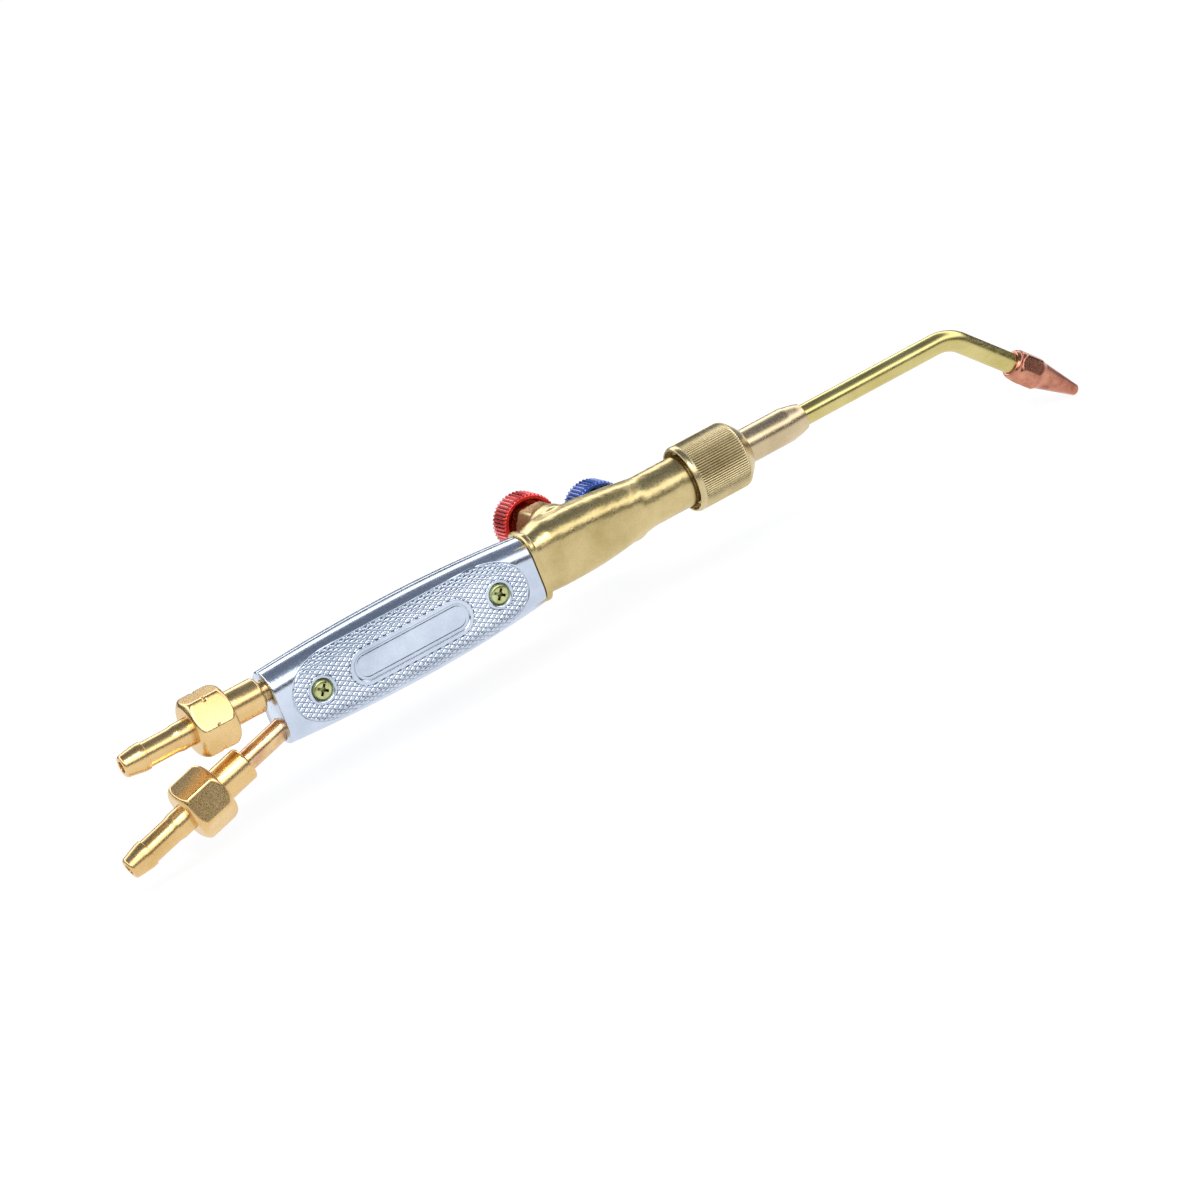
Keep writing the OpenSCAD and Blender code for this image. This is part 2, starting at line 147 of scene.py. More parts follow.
def rounded(corners, steps=4):
    """Closed profile from (x, r, fillet) corners: each fillet becomes an arc of a few points."""
    out = []
    count = len(corners)
    for i, (x, r, fillet) in enumerate(corners):
        here = Vector((x, r))
        if fillet <= 0:
            out.append((x, r))
            continue
        back = Vector(corners[i - 1][:2]) - here
        ahead = Vector(corners[(i + 1) % count][:2]) - here
        reach = min(fillet, 0.45 * back.length, 0.45 * ahead.length)
        start = here + back.normalized() * reach
        end = here + ahead.normalized() * reach
        for k in range(steps + 1):
            t = k / steps
            point = start * (1 - t) ** 2 + here * 2 * t * (1 - t) + end * t ** 2
            out.append((point.x, point.y))
    return out


def dense(profile, step):
    """The closed profile with its long stretches cut into short ones."""
    out = []
    for (x0, r0), (x1, r1) in zip(profile, profile[1:] + profile[:1]):
        parts = max(1, math.ceil(math.hypot(x1 - x0, r1 - r0) / step))
        out += [(x0 + (x1 - x0) * k / parts, r0 + (r1 - r0) * k / parts) for k in range(parts)]
    return out


def revolve(profile, segments, shape=None):
    """Turns a closed (x, r) profile about X. shape(x, r, angle) may change the radius."""
    verts = []
    for x, r in profile:
        for j in range(segments):
            angle = 2 * math.pi * j / segments
            radius = shape(x, r, angle) if shape else r
            verts.append((x, radius * math.sin(angle), radius * math.cos(angle)))
    rows = len(profile)
    faces = []
    for i in range(rows):
        here, following = i * segments, (i + 1) % rows * segments
        for j in range(segments):
            k = (j + 1) % segments
            faces.append((here + j, here + k, following + k, following + j))
    return verts, faces


def turned(name, matrix, corners, body, material, nodes, segments=96, shape=None, step=None):
    """A turned piece: closed profile, placed, riding on its body and standing for its CAD nodes."""
    profile = rounded(corners)
    if step:
        profile = dense(profile, step)
    obj = finish_mesh(revolve(profile, segments, shape), name, matrix)
    dress(obj, body, material, nodes)


def bake(obj):
    """Makes the modifiers of a piece part of its mesh."""
    graph = bpy.context.evaluated_depsgraph_get()
    mesh = bpy.data.meshes.new_from_object(obj.evaluated_get(graph))
    obj.modifiers.clear()
    old, obj.data = obj.data, mesh
    bpy.data.meshes.remove(old)


def combine(obj, tool, operation):
    """Joins, cuts or intersects a piece with a tool solid, and deletes the tool."""
    modifier = obj.modifiers.new("combine", "BOOLEAN")
    modifier.operation, modifier.solver, modifier.object = operation, "MANIFOLD", tool
    bake(obj)
    bpy.data.objects.remove(tool)


def reshade(obj, smooth_angle):
    """Smooth shading with creases where the surface turns by more than an angle in degrees."""
    for polygon in obj.data.polygons:
        polygon.use_smooth = True
    obj.data.set_sharp_from_angle(angle=math.radians(smooth_angle))


def cad_copy(node):
    """A closed copy of a CAD node's mesh, to build a piece from."""
    source = frame["nodes"][node]
    mesh = source.data.copy()
    mesh.transform(source.matrix_world)
    bm = bmesh.new()
    bm.from_mesh(mesh)
    bmesh.ops.remove_doubles(bm, verts=bm.verts, dist=1e-6)
    bm.to_mesh(mesh)
    bm.free()
    obj = bpy.data.objects.new("copy_" + node, mesh)
    bpy.context.scene.collection.objects.link(obj)
    return obj


def rod(matrix, corners, segments=64, shape=None):
    """A solid turned bar from (x, r) corners, used as a tool."""
    verts, faces = revolve(corners, segments, shape)
    last = (len(corners) - 1) * segments
    faces = faces[:last]                  # without the ring that would close the profile
    faces.append(tuple(range(segments)))
    faces.append(tuple(last + j for j in reversed(range(segments))))
    return finish_mesh((verts, faces), "rod", matrix)


def block(matrix, low, high):
    """A box between two corners, used as a tool."""
    verts = [(x, y, z) for x in (low[0], high[0]) for y in (low[1], high[1])
             for z in (low[2], high[2])]
    faces = [(0, 1, 3, 2), (4, 6, 7, 5), (0, 4, 5, 1), (2, 3, 7, 6), (0, 2, 6, 4), (1, 5, 7, 3)]
    return finish_mesh((verts, faces), "block", matrix)


def dress(obj, body, material, nodes):
    """Gives a piece its material and its place in the frame."""
    obj.data.materials.clear()
    obj.data.materials.append(material)
    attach(obj, body)
    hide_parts(*nodes)


def soft_min(a, b, blend):
    """The smaller of two values, rounded off where they meet."""
    h = max(blend - abs(a - b), 0) / blend
    return min(a, b) - h * h * blend / 4


def smooth_step(low, high, value):
    """0 below low, 1 above high, and an S curve between."""
    t = min(max((value - low) / (high - low), 0), 1)
    return t * t * (3 - 2 * t)


def hexagon_radius(across_flats, angle, turn, blend=0.25):
    """Distance from the axis to a hexagon's edge, with slightly rounded corners."""
    sector = math.radians(60)
    local = (angle - math.radians(turn)) % sector - sector / 2
    flat, next_flat = (across_flats / 2 / math.cos(a) for a in (local, sector - abs(local)))
    return soft_min(flat, next_flat, blend)


# ---------------------------------------------------------------- materials

def node_material(name):
    """A new material with its nodes, its links and its shader."""
    material = bpy.data.materials.new(name)
    material.use_nodes = True
    nodes = material.node_tree.nodes
    return material, nodes, material.node_tree.links, nodes["Principled BSDF"]


def noise(nodes, links, scale, detail=3.0, roughness=0.6, stretch=None):
    """A noise texture in the object's own metres, so that scale counts features per metre."""
    coords = nodes.new("ShaderNodeTexCoord")
    texture = nodes.new("ShaderNodeTexNoise")
    texture.inputs["Scale"].default_value = scale
    texture.inputs["Detail"].default_value = detail
    texture.inputs["Roughness"].default_value = roughness
    source = coords.outputs["Object"]
    if stretch:
        mapping = nodes.new("ShaderNodeMapping")
        mapping.inputs["Scale"].default_value = stretch
        links.new(source, mapping.inputs["Vector"])
        source = mapping.outputs["Vector"]
    links.new(source, texture.inputs["Vector"])
    return texture.outputs["Fac"]


def ramp(nodes, links, value, stops):
    """Colour ramp from (position, colour) stops."""
    node = nodes.new("ShaderNodeValToRGB")
    elements = node.color_ramp.elements
    while len(elements) < len(stops):
        elements.new(0.5)
    for element, (position, colour) in zip(elements, stops):
        element.position = position
        element.color = (*colour, 1)
    links.new(value, node.inputs["Fac"])
    return node.outputs["Color"]


def spread(nodes, links, value, low, high, start=0.35, end=0.65):
    """Maps a noise value to a range."""
    node = nodes.new("ShaderNodeMapRange")
    node.inputs["From Min"].default_value = start
    node.inputs["From Max"].default_value = end
    node.inputs["To Min"].default_value = low
    node.inputs["To Max"].default_value = high
    links.new(value, node.inputs["Value"])
    return node.outputs["Result"]


def bump(nodes, links, height, distance, strength=1.0, normal=None):
    """Bump of a few micrometres to hundredths of a millimetre; distance is in metres."""
    node = nodes.new("ShaderNodeBump")
    node.inputs["Distance"].default_value = distance
    node.inputs["Strength"].default_value = strength
    links.new(height, node.inputs["Height"])
    if normal:
        links.new(normal, node.inputs["Normal"])
    return node.outputs["Normal"]


def paint_shade_in_hollows(nodes, links, colour, strength):
    """Paints shade into a colour in the hollows of the surface's own shape, darkest where it is most concave."""
    shade = nodes.new("ShaderNodeMix")
    shade.data_type = "RGBA"
    shade.blend_type = "MULTIPLY"
    shade.inputs["Factor"].default_value = strength
    geometry = nodes.new("ShaderNodeNewGeometry")
    # mask of painted shade: dark where pointiness marks a hollow
    shade_mask = ramp(nodes, links, geometry.outputs["Pointiness"],
                   [(0.43, (0.02, 0.02, 0.02)), (0.495, (1, 1, 1))])
    links.new(colour, shade.inputs["A"])
    links.new(shade_mask, shade.inputs["B"])
    return shade.outputs["Result"]


def metal(name, dark, light, rough, grain=900, grain_depth=0.00002, patch=60, stretch=None,
          pits=0.0, painted_shade=0.0):
    """Metal with patchy colour, a grain in its gloss and its surface, and optional casting pits.

    The last argument paints shade into the hollows of knurls and grooves, from 0 for none to 1 for black.
    """
    material, nodes, links, shader = node_material(name)
    shader.inputs["Metallic"].default_value = 1.0
    patches = noise(nodes, links, patch, detail=4.0)
    fine = noise(nodes, links, grain, stretch=stretch)
    fine_share = 0.45
    mix = nodes.new("ShaderNodeMath")
    mix.operation = "MULTIPLY_ADD"
    mix.inputs[1].default_value = fine_share
    links.new(fine, mix.inputs[0])
    patch_share = spread(nodes, links, patches, 0.0, 1 - fine_share, 0.3, 0.7)
    links.new(patch_share, mix.inputs[2])
    colour = ramp(nodes, links, mix.outputs[0], [(0.2, dark), (0.75, light)])
    # painted shade in the hollows, standing in for the darkness that falls in grooves and recesses
    if painted_shade:
        colour = paint_shade_in_hollows(nodes, links, colour, painted_shade)
    links.new(colour, shader.inputs["Base Color"])
    links.new(spread(nodes, links, fine, *rough), shader.inputs["Roughness"])
    normal = bump(nodes, links, fine, grain_depth)
    if pits:
        spots = nodes.new("ShaderNodeTexVoronoi")
        spots.inputs["Scale"].default_value = 260
        coords = nodes.new("ShaderNodeTexCoord")
        links.new(coords.outputs["Object"], spots.inputs["Vector"])
        depth = spread(nodes, links, spots.outputs["Distance"], 0, 1, 0.03, 0.16)
        normal = bump(nodes, links, depth, pits, 0.6, normal)
    links.new(normal, shader.inputs["Normal"])
    return material


def anodised(name, dark, light):
    """Coloured anodised aluminium under a clear gloss, with painted shade in its hollows."""
    material, nodes, links, shader = node_material(name)
    shader.inputs["Metallic"].default_value = 0.75
    shader.inputs["Coat Weight"].default_value = 0.6
    shader.inputs["Coat Roughness"].default_value = 0.08
    fine = noise(nodes, links, 700)
    patches = noise(nodes, links, 90, roughness=0.5)
    colour = ramp(nodes, links, patches, [(0.3, dark), (0.7, light)])
    # painted shade in the hollows of the serrations
    links.new(paint_shade_in_hollows(nodes, links, colour, 0.8), shader.inputs["Base Color"])
    links.new(spread(nodes, links, fine, 0.2, 0.36), shader.inputs["Roughness"])
    links.new(bump(nodes, links, fine, 0.000012), shader.inputs["Normal"])
    return material


def matt(name, dark, light, rough, grain):
    """Rubber or plastic with a fine uneven surface."""
    material, nodes, links, shader = node_material(name)
    fine = noise(nodes, links, grain)
    links.new(ramp(nodes, links, fine, [(0.3, dark), (0.7, light)]), shader.inputs["Base Color"])
    links.new(spread(nodes, links, fine, *rough), shader.inputs["Roughness"])
    links.new(bump(nodes, links, fine, 0.00002), shader.inputs["Normal"])
    return material


BODY_BRASS = metal("body_brass", (0.46, 0.36, 0.15), (0.66, 0.53, 0.27), (0.26, 0.36),
                   grain=1700, grain_depth=0.000016, pits=0.00005)
# the union nut's knurl grooves get painted shade
NUT_BRASS = metal("nut_brass", (0.50, 0.40, 0.21), (0.70, 0.58, 0.34), (0.24, 0.34), grain=2200,
                  grain_depth=0.000006, painted_shade=0.9)
STEM_BRASS = metal("stem_brass", (0.50, 0.39, 0.23), (0.68, 0.55, 0.36), (0.24, 0.34), grain=2000,
                   grain_depth=0.00001)
TUBE_BRASS = metal("tube_brass", (0.52, 0.43, 0.15), (0.66, 0.57, 0.25), (0.22, 0.30),
                   grain=900, grain_depth=0.000006, stretch=(0.08, 1, 1))
FITTING_BRASS = metal("fitting_brass", (0.66, 0.43, 0.17), (0.82, 0.59, 0.29), (0.22, 0.32),
                      grain=2200, grain_depth=0.000012)
STAINED_BRASS = metal("stained_brass", (0.52, 0.26, 0.17), (0.80, 0.58, 0.30), (0.20, 0.32),
                      grain=1800, grain_depth=0.000012, patch=150)
# the grip's knurl grooves and seat rings get painted shade
ALUMINIUM = metal("grip_aluminium", (0.47, 0.54, 0.66), (0.66, 0.73, 0.85), (0.18, 0.28),
                  grain=2500, grain_depth=0.000004, patch=45, stretch=(0.35, 1, 1), painted_shade=0.85)
COPPER = metal("nozzle_copper", (0.34, 0.12, 0.08), (0.66, 0.30, 0.20), (0.18, 0.30), grain=1800,
               patch=180, grain_depth=0.00001)
STEEL = metal("spindle_steel", (0.42, 0.42, 0.43), (0.66, 0.66, 0.67), (0.2, 0.34))
# the screws' cross recesses get painted shade
ZINC = metal("zinc_screw", (0.40, 0.38, 0.10), (0.62, 0.68, 0.38), (0.2, 0.34), patch=420,
             painted_shade=0.9)
RED = anodised("red_knob", (0.50, 0.010, 0.010), (0.80, 0.03, 0.02))
BLUE = anodised("blue_knob", (0.01, 0.04, 0.22), (0.02, 0.10, 0.50))
RUBBER = matt("seal_rubber", (0.012, 0.012, 0.012), (0.03, 0.03, 0.03), (0.55, 0.7), 1500)
PACKING = matt("white_packing", (0.72, 0.72, 0.70), (0.86, 0.86, 0.84), (0.4, 0.55), 1500)

# CAD nodes that keep their mesh
CARRIED_OVER = {
    "fuel_valve_seat": STEEL, "oxygen_valve_seat": STEEL,
    "fuel_packing": PACKING, "oxygen_packing": PACKING,
    "fuel_stem_ring": RUBBER, "oxygen_stem_ring": RUBBER,
    "mixer_front_ring": RUBBER, "mixer_rear_ring": RUBBER,
    "fuel_spindle": STEEL, "oxygen_spindle": STEEL,
    "nut_thrust_washer": STEM_BRASS, "injector": FITTING_BRASS,
    "fuel_knob_screw": STEEL, "oxygen_knob_screw": STEEL,
}
for node_name, node_look in CARRIED_OVER.items():
    node_mesh = frame["nodes"][node_name].data
    node_mesh.materials.clear()
    node_mesh.materials.append(node_look)
    for polygon in node_mesh.polygons:
        polygon.use_smooth = True
    node_mesh.set_sharp_from_angle(angle=math.radians(30))


# ---------------------------------------------------------------- grip

GRIP_X0, GRIP_X1 = span("grip_shell_front")
GRIP_Z0, GRIP_Z1 = span("grip_shell_front", 2)
GRIP_MID_Z = (GRIP_Z0 + GRIP_Z1) / 2
GRIP_HALF_T = -span("grip_shell_front", 1)[0]
GRIP_HALF_L = (GRIP_X1 - GRIP_X0) / 2
GRIP_HALF_H = (GRIP_Z1 - GRIP_Z0) / 2
CORNER = 8.0                       # radius of the section's corners
REAR_DROP, FRONT_DROP = 1.8, 2.7   # how far the top and bottom edges close in at each end
SIDE_DROP = 0.8                    # and the broad faces
SPLIT_GAP = 0.04                   # seam between the shells, on each shell
ROW_STEP = 0.2                     # spacing of the grip's surface grid along its length
FINE_STEP, COARSE_STEP = 0.165, 0.5
INSIDE = 0.09                      # how far the carved skin lies inside the CAD's
DIAMOND_L, DIAMOND_H = 3.3, 1.95   # one diamond of the knurl
KNURL_DEPTH = 0.4
KNURL_HALF_WIDTH = 0.14            # of a groove, as a share of a diamond
PANEL_HALF_L, PANEL_HALF_H, PANEL_END = 48.4, 13.6, 19.0
PLATE_HALF_L, PLATE_HALF_H = 24.6, 6.2
RIM_GROOVE, PLATE_GROOVE, PLATE_SINK, PLATE_LINE = 0.25, 0.3, 0.42, 0.12
SEAT_SINK, SEAT_GROOVE = 0.25, 0.15
SCREW_X = (span("grip_screws")[1] - span("grip_screws")[0]) / 2 - 3.6
SCREW_Z = (span("grip_screws", 2)[1] + span("grip_screws", 2)[0]) / 2 - GRIP_MID_Z
COUNTERBORE_R = 4.2


def grip_size(x):
    """Half height and half thickness of the grip's section at x."""
    s = x / GRIP_HALF_L
    drop = REAR_DROP if s < 0 else FRONT_DROP
    return (GRIP_HALF_H - drop * s * s - INSIDE,
            GRIP_HALF_T - SIDE_DROP * s * s - INSIDE)


def section_point(half_h, half_t, arc):
    """Point and outward normal on half a section; arc is measured from the broad face's middle."""
    flat = half_h - CORNER
    side = 1 if arc >= 0 else -1
    over = abs(arc) - flat
    if over <= 0:
        return (half_t, arc), (1.0, 0.0)
    angle = over / CORNER
    if angle <= math.pi / 2:
        out, up = math.cos(angle), math.sin(angle)
        place = (half_t - CORNER + CORNER * out, side * (flat + CORNER * up))
        return place, (out, side * up)
    rest = over - CORNER * math.pi / 2
    return (half_t - CORNER - rest, side * half_h), (0.0, side)


def stadium(x, a, half_l, half_h):
    """Signed distance to a stadium's outline, negative inside."""
    past = max(abs(x) - (half_l - half_h), 0)
    return math.hypot(past, a) - half_h


def panel_edge(x, a):
    """Below 1 inside the knurled panel."""
    past = max(abs(x) - (PANEL_HALF_L - PANEL_END), 0) / PANEL_END
    return math.hypot(past, a / PANEL_HALF_H)


def hollow(value, middle, width):
    """A rounded groove's depth, from 1 at its middle to 0 beside it."""
    return math.exp(-((value - middle) / width) ** 2)


def knurl(x, arc):
    """Depth from 0 to 1 of the crossed grooves between the raised diamonds."""
    deepest = 0.0
    for phase in (x / DIAMOND_L + arc / DIAMOND_H, x / DIAMOND_L - arc / DIAMOND_H):
        deepest = max(deepest, hollow(phase, round(phase), KNURL_HALF_WIDTH))
    return deepest


def relief(x, arc, with_plate):
    """Height of the grip's surface above its plain shape, in mm."""
    inside = panel_edge(x, arc)
    height = 0.0
    if inside < 1.05:
        # diamonds, and the groove round their panel
        height -= KNURL_DEPTH * knurl(x, arc) * (1 - smooth_step(0.955, 0.975, inside))
        height -= RIM_GROOVE * hollow(inside, 0.985, 0.012)
    if not with_plate:
        return height
    plate = stadium(x, arc, PLATE_HALF_L, PLATE_HALF_H)
    height *= smooth_step(0.3, 0.8, plate)
    if plate < 1.5:
        # groove round the plate, its sunk field, and the raised line in the field
        height -= PLATE_GROOVE * hollow(plate, 0.75, 0.22)
        height -= PLATE_SINK * (1 - smooth_step(-1.2, -0.75, plate))
        height += PLATE_LINE * hollow(plate, -2.2, 0.3)
    for screw_x in (-SCREW_X, SCREW_X):
        near = math.hypot(x - screw_x, arc - SCREW_Z) - COUNTERBORE_R
        if near < 1.8:
            # plain land round each screw, sunk seat, and a ring round both
            height *= smooth_step(0.9, 1.4, near)
            height -= SEAT_SINK * (1 - smooth_step(0.0, 0.4, near))
            height -= SEAT_GROOVE * hollow(near, 1.3, 0.25)
    return height


def grip_arcs():
    """Places across the section: close together under the knurl, wider elsewhere."""
    fine = PANEL_HALF_H + 0.5
    half_h, half_t = grip_size(0)
    total = (half_h - CORNER) + CORNER * math.pi / 2 + (half_t - CORNER)
    count = math.ceil(2 * fine / FINE_STEP)
    outer = math.ceil((total - fine) / COARSE_STEP)
    fractions = [-1 + (1 - fine / total) * k / outer for k in range(outer)]
    fractions += [(-1 + 2 * k / count) * fine / total for k in range(count + 1)]
    fractions += [1 - (1 - fine / total) * k / outer for k in reversed(range(outer))]
    return fractions


def grip_shell(name, side, node, with_plate):
    """One shell: a carved solid half, hollowed by intersection with the CAD's shell."""
    rows = math.ceil((GRIP_X1 - GRIP_X0) / ROW_STEP)
    fractions = grip_arcs()
    width = len(fractions)
    end_gap = 0.02
    verts, faces = [], []
    for i in range(rows + 1):
        x = GRIP_X0 + end_gap + (GRIP_X1 - GRIP_X0 - 2 * end_gap) * i / rows
        half_h, half_t = grip_size(x)
        ease = 0.5 * (1 - min(min(x - GRIP_X0, GRIP_X1 - x) / 0.6, 1)) ** 2
        total = (half_h - CORNER) + CORNER * math.pi / 2 + (half_t - CORNER) - SPLIT_GAP
        for fraction in fractions:
            arc = total * fraction
            (out, up), (normal_out, normal_up) = section_point(half_h, half_t, arc)
            lift = relief(x, arc, with_plate) - ease
            lift -= 0.25 * (1 - smooth_step(0, 0.5, total - abs(arc)))
            verts.append((x, side * (out + normal_out * lift),
                          GRIP_MID_Z + up + normal_up * lift))
    for i in range(rows):
        for j in range(width - 1):
            a = i * width + j
            faces.append((a, a + 1, a + width + 1, a + width))
    faces.append(tuple(range(width)))
    faces.append(tuple(rows * width + j for j in range(width)))
    faces.append(tuple([i * width for i in range(rows + 1)]
                       + [i * width + width - 1 for i in reversed(range(rows + 1))]))
    obj = finish_mesh((verts, faces), name, MAIN, 30)
    combine(obj, cad_copy(node), "INTERSECT")
    reshade(obj, 35)
    dress(obj, "handset", ALUMINIUM, [node])


grip_shell("front_grip", -1, "grip_shell_front", True)
grip_shell("back_grip", 1, "grip_shell_back", False)


def grip_screw_pair():
    """Countersunk screws: domed heads with a cross recess; the shanks sit in the posts."""
    head = span("grip_screws", 1)[0]
    screws = None
    for screw_x in (-SCREW_X, SCREW_X):
        axis = frame_along((screw_x, head, GRIP_MID_Z + SCREW_Z), (0, 1, 0))
        screw = rod(axis, [(0.02, 2.2), (0.12, 2.9), (0.3, 3.2), (0.6, 3.35), (1.58, 3.55),
                           (1.62, 1.45), (14, 1.45)])
        for turn in (35, 125):
            cross = axis @ Matrix.Rotation(math.radians(turn), 4, "X")
            combine(screw, block(cross, (-1, -2.2, -0.5), (1.55, 2.2, 0.5)), "DIFFERENCE")
        combine(screw, rod(axis, [(-1, 1.15), (1.5, 0.9)], 24), "DIFFERENCE")
        if screws:
            combine(screws, screw, "UNION")
        else:
            screws = screw
    screws.name = "grip_screw_pair"
    reshade(screws, 30)
    dress(screws, "handset", ZINC, ["grip_screws"])


grip_screw_pair()


# ---------------------------------------------------------------- valve body

BODY_X0 = 53.5                     # where the casting meets the grip
SPIGOT_X0 = span("valve_body")[0]  # rear end, inside the grip
NECK_X0, NECK_R = 88.0, 9.8
THREAD_X0, THREAD_R = 121.0, 9.6
THREAD_PITCH, THREAD_DEPTH = 1.5, 0.55
BODY_X1 = span("valve_body")[1]
BOSS_AF = 15.4                     # across the flats of a valve boss
BOSS_Y = 22.6                      # its end
VOXEL = 0.42                       # grid of the casting's remesh
LUMPS = 0.09                       # depth of the casting's unevenness


def rounded_section(x, half_h, half_t, corner, mid_z):
    """Points round a rounded rectangle across X."""
    steps = 10
    out = []
    for quarter in range(4):
        sy = 1 if quarter in (0, 3) else -1
        sz = 1 if quarter < 2 else -1
        for k in range(steps + 1):
            angle = math.pi / 2 * (quarter + k / steps)
            out.append((x, sy * (half_t - corner) + corner * math.cos(angle),
                        mid_z + sz * (half_h - corner) + corner * math.sin(angle)))
    return out


def loft(name, sections):
    """Closed solid through rounded sections given as (x, height, thickness, corner, middle)."""
    rings = [rounded_section(x, h / 2, t / 2, r, z) for x, h, t, r, z in sections]
    width = len(rings[0])
    verts = [v for ring in rings for v in ring]
    faces = []
    for i in range(len(rings) - 1):
        for j in range(width):
            a, b = i * width + j, i * width + (j + 1) % width
            faces.append((a, b, b + width, a + width))
    faces.append(tuple(range(width)))
    faces.append(tuple((len(rings) - 1) * width + j for j in range(width)))
    return finish_mesh((verts, faces), name, MAIN)


def casting_skin():
    """Swell, neck and boss roots melted together, with soft fillets and a cast surface."""
    skin = loft("valve_casting", [
        (BODY_X0 + 1.2, 23.6, 17.4, 6.6, -1), (BODY_X0 + 4.0, 23.8, 17.8, 7, -0.7),
        (BODY_X0 + 9, 25.5, 20.4, 8, 0), (72, 25.4, 20.9, 8.4, 0), (80, 24.9, 20.9, 8.6, 0),
        (88, 23.4, 20.7, 8.8, 0), (96, 21.4, 20.2, 8.8, 0), (104, 19.0, 18.0, 8.4, 0),
        (108.5, 15.0, 15.0, 7.4, 0),
    ])
    combine(skin, rod(MAIN, [(NECK_X0, NECK_R), (THREAD_X0 + 0.2, NECK_R)], 96), "UNION")
    for axis in (FUEL_VALVE, OXYGEN_VALVE):
        root = rod(axis, [(3, 9.2), (9, 9.3), (12.5, 8.5), (15.4, 7.9), (17.5, 7.6)], 96)
        combine(skin, root, "UNION")
    remesh = skin.modifiers.new("remesh", "REMESH")
    remesh.mode, remesh.voxel_size = "VOXEL", VOXEL * MM
    smooth = skin.modifiers.new("smooth", "SMOOTH")
    smooth.factor, smooth.iterations = 0.5, 22
    bake(skin)
    places = [vertex.co / MM for vertex in skin.data.vertices]
    normals = [vertex.normal.copy() for vertex in skin.data.vertices]
    moved = []
    for place, normal in zip(places, normals):
        lump = fractal(place * 0.22, 1.0, 2.0, 3) * LUMPS * (1 - smooth_step(13, 15, place.y))
        moved.extend((place + normal * lump) * MM)
    skin.data.vertices.foreach_set("co", moved)
    return skin


def flange_lip():
    """Lip that meets the grip's end, a little below the grip's own outline."""
    return loft("lip", [(BODY_X0 + 0.04, 25.6, 18.7, 7, -1.2), (BODY_X0 + 0.5, 26.4, 19.4, 7, -1.2),
                        (BODY_X0 + 1.7, 26.5, 19.5, 7, -1.2), (BODY_X0 + 2.3, 25.9, 19.0, 7, -1.2)])


def thread(x, r, angle):
    """Helical thread on the body's front end."""
    if r < THREAD_R - 0.3 or x < THREAD_X0 + 1.5:
        return r
    phase = x / THREAD_PITCH - angle / (2 * math.pi)
    return r - THREAD_DEPTH * abs(2 * (phase - math.floor(phase)) - 1)


def boss_hexagon(axis):
    """Hexagonal end of a valve boss."""
    def flats(x, r, angle):
        return soft_min(r, hexagon_radius(BOSS_AF, angle, 30, 0.4), 0.4)

    return rod(axis, [(12.5, 8.6), (21.4, 8.8), (22.0, 8.5), (BOSS_Y, 7.7)], 120, flats)


def valve_bore(axis):
    """Gas way, seat recess, spindle bore and gland thread of one valve, as a tool."""
    return rod(axis, [(2.4, 2.5), (6, 2.5), (6.02, 3.8), (11, 3.8), (11.02, 3.05),
                      (BOSS_Y - 8, 3.05), (BOSS_Y - 7.98, 5.0), (BOSS_Y + 1, 5.0)])


def threaded_end():
    """Front end of the neck, which the union nut screws on to."""
    step = 0.25
    profile = [(THREAD_X0 - 1.5, 4), (THREAD_X0 - 1.5, NECK_R - 0.25),
               (THREAD_X0 - 0.25, NECK_R - 0.25)]
    profile += [(THREAD_X0 + k * step, THREAD_R)
                for k in range(int((BODY_X1 - THREAD_X0) / step))]
    profile += [(BODY_X1, THREAD_R - 0.5), (BODY_X1, 4)]
    return finish_mesh(revolve(profile, 96, thread), "threaded_end", MAIN)


def gas_valve_body():
    """The casting with its lip, thread, spigot and hexagonal bosses, and its bores."""
    body = casting_skin()
    combine(body, flange_lip(), "UNION")
    combine(body, threaded_end(), "UNION")
    combine(body, block(MAIN, (SPIGOT_X0, -7, -13), (BODY_X0 + 2, 7, 9)), "UNION")
    for axis in (FUEL_VALVE, OXYGEN_VALVE):
        combine(body, boss_hexagon(axis), "UNION")
        combine(body, valve_bore(axis), "DIFFERENCE")
    for tube in ("fuel_tube", "oxygen_tube"):
        line = frame_along((0, 0, line_height(tube)), (1, 0, 0))
        combine(body, rod(line, [(39, SOCKET_R), (48, SOCKET_R)]), "DIFFERENCE")
    combine(body, rod(MAIN, [(107, 1.2), (111, 1.2), (111.02, 5.05), (122, 5.05), (122.02, 6.45),
                             (BODY_X1 - 2, 6.45), (BODY_X1 + 0.05, 7.4)]), "DIFFERENCE")
    body.name = "brass_valve_body"
    reshade(body, 32)
    dress(body, "handset", BODY_BRASS, ["valve_body"])


gas_valve_body()


# ---------------------------------------------------------------- union nut

NUT_X0, NUT_X1 = span("union_nut")
NUT_R = span("union_nut", 2)[1]
NUT_TEETH, NUT_TOOTH_DEPTH = 84, 0.42
STEM_R = 6.5


def nut_knurl(x, r, angle):
    """Fine straight knurl between the plain lips."""
    if r < NUT_R - 0.9:
        return r
    depth = NUT_TOOTH_DEPTH * smooth_step(NUT_X0 + 2.0, NUT_X0 + 2.5, x)
    depth *= 1 - smooth_step(NUT_X1 - 5.2, NUT_X1 - 4.4, x)
    phase = angle * NUT_TEETH / (2 * math.pi)
    return r - depth * (1 - abs(2 * (phase - math.floor(phase)) - 1)) ** 1.5


